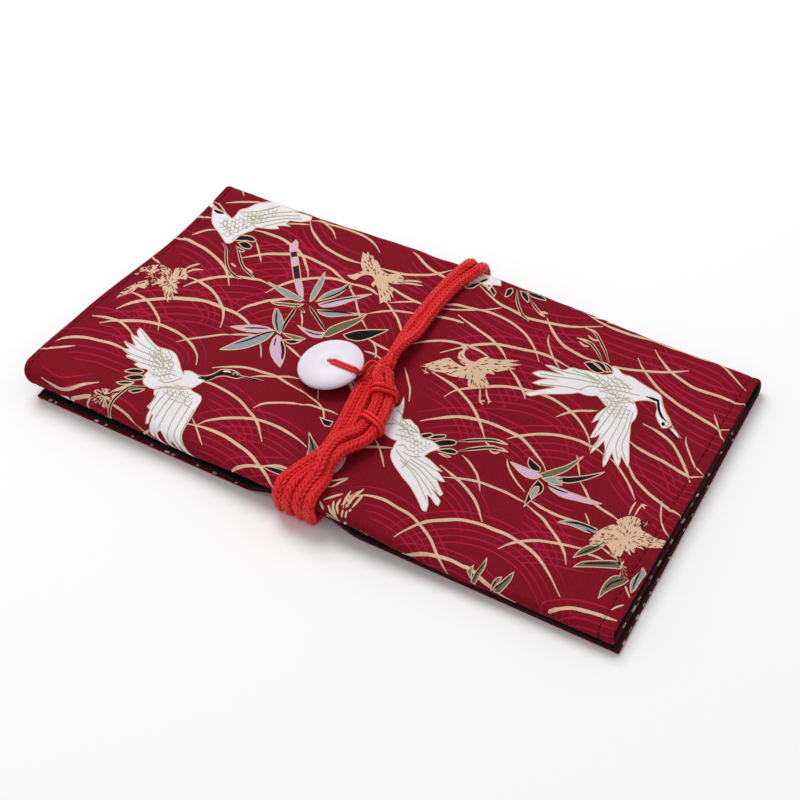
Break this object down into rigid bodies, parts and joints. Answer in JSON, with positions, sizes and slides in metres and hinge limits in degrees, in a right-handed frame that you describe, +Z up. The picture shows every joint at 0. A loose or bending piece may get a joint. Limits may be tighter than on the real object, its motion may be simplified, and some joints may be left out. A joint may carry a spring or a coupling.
{
  "type": "tied folded cloth case",
  "caption": "Flat oblong cotton case folded in three like a letter, tied across the middle with a doubled braided cord that ends in a pierced disc toggle.",
  "frame": {"origin": "on the surface the case lies on, under the middle of its box", "axes": "+X along the long sides, away from the loose near corner of the fold; +Y from the side with the free lower edge to the side with the closed fold; +Z up"},
  "size_m": [0.2172, 0.1274, 0.0196],
  "materials": {
    "printed_cotton": "matt woven cotton, crimson with a printed pattern",
    "black_cotton": "matt woven cotton",
    "braided_cord": "satin round braid",
    "thin_cord": "satin",
    "white_disc": "polished"
  },
  "bodies": {
    "root": {"outer_cloth": "printed_cotton", "lining": "black_cotton", "tie_cord": "braided_cord", "near_whipping": "thin_cord", "far_whipping": "thin_cord", "disc_toggle": "white_disc", "toggle_cord": "thin_cord"}
  },
  "joints": []
}
